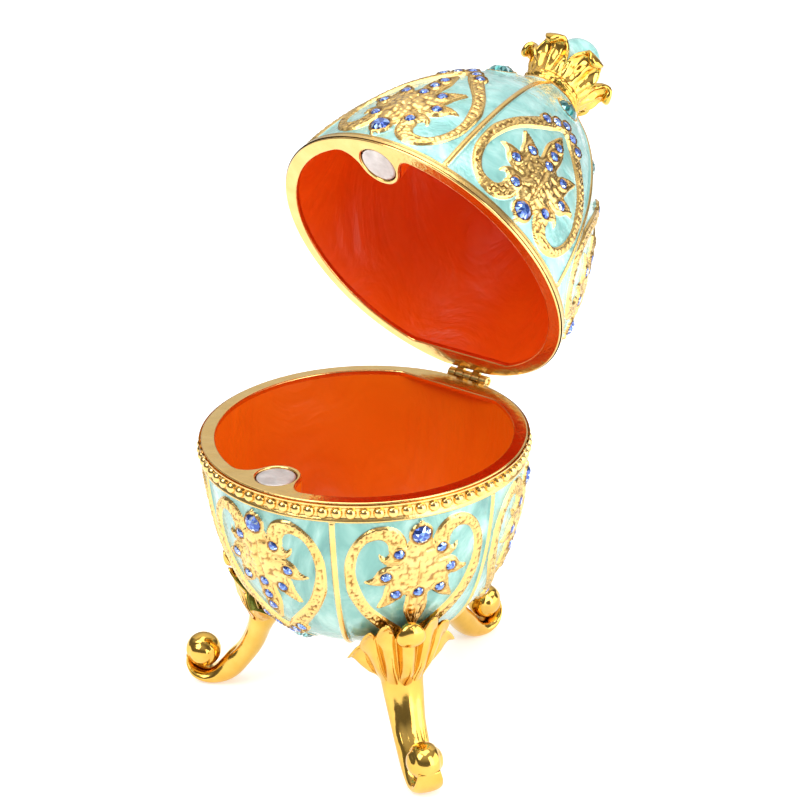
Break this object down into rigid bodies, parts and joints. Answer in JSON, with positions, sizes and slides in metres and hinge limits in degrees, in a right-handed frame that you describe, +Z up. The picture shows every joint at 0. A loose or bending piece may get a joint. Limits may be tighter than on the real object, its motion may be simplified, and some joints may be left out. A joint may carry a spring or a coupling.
{
  "type": "jewelled egg trinket box",
  "caption": "Egg-shaped trinket box on scrolled legs, with a hinged lid, leaf crown and bud, raised gilt medallions and set stones.",
  "frame": {"origin": "on the surface that it stands on, under the middle of the extent of the whole box with its lid open", "axes": "+Z up, +Y from the catch at the front to the hinge at the back, +X to the right of the catch seen from the front"},
  "size_m": [0.0666, 0.1042, 0.1192],
  "materials": {
    "gilt_enamel": "pearly aqua enamel between polished gilt ornament, glossy orange enamel inside",
    "gold": "polished gilt over a cast alloy",
    "hinge_gold": "pale polished gilt",
    "magnet": "matte nickel plate",
    "bud_enamel": "glossy translucent aqua enamel",
    "blue_stone": "foil-backed cut glass",
    "teal_stone": "foil-backed cut glass"
  },
  "bodies": {
    "base": {"bowl_shell": "gilt_enamel", "bowl_magnet": "magnet", "bowl_hinge_leaf": "hinge_gold", "hinge_pin": "hinge_gold", "bowl_head_stone_1": "blue_stone", "bowl_head_stone_2": "blue_stone", "bowl_head_stone_3": "blue_stone", "bowl_head_stone_4": "blue_stone", "bowl_head_stone_5": "blue_stone", "bowl_head_stone_6": "blue_stone", "bowl_teal_stone_1": "teal_stone", "bowl_teal_stone_2": "teal_stone", "bowl_teal_stone_3": "teal_stone", "leg_left": "gold", "leg_right": "gold", "leg_back": "gold"},
    "lid": {"lid_shell": "gilt_enamel", "lid_magnet": "magnet", "lid_hinge_leaf": "hinge_gold", "crown": "gold", "bud": "bud_enamel", "lid_head_stone_1": "blue_stone", "lid_head_stone_2": "blue_stone", "lid_head_stone_3": "blue_stone", "lid_head_stone_4": "blue_stone", "lid_head_stone_5": "blue_stone", "lid_head_stone_6": "blue_stone", "lid_teal_stone_1": "teal_stone", "lid_teal_stone_2": "teal_stone", "lid_teal_stone_3": "teal_stone", "lid_teal_stone_4": "teal_stone", "lid_teal_stone_5": "teal_stone", "lid_teal_stone_6": "teal_stone"}
  },
  "joints": [
    {"name": "lid", "type": "hinge", "parent": "base", "child": "lid", "pos_m": [0.00112, 0.01078, 0.0573], "axis": [-1, 0, 0], "range_deg": [-62, 0]}
  ]
}
